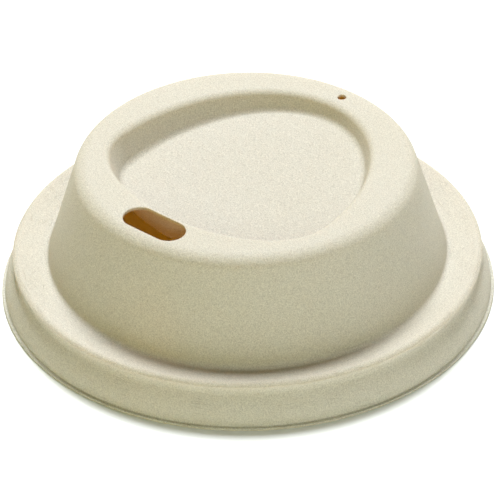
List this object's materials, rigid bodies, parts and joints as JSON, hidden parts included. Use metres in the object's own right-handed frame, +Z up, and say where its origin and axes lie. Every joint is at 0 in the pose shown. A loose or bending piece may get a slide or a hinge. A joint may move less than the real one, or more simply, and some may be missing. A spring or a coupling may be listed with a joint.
{
  "type": "coffee cup lid",
  "caption": "Domed takeaway cup lid of moulded fibre with a sunken egg-shaped top, an oval sip slot, a pinhole vent and a stepped skirt.",
  "frame": {"origin": "centre of the foot, on the plane that the lid rests on", "axes": "+Z up through the dome, sip slot on the -Y side, vent on the +Y side"},
  "size_m": [0.0956, 0.0956, 0.0289],
  "materials": {
    "lid": "matt pressed fibre"
  },
  "bodies": {
    "root": {"lid": "lid"}
  },
  "joints": []
}
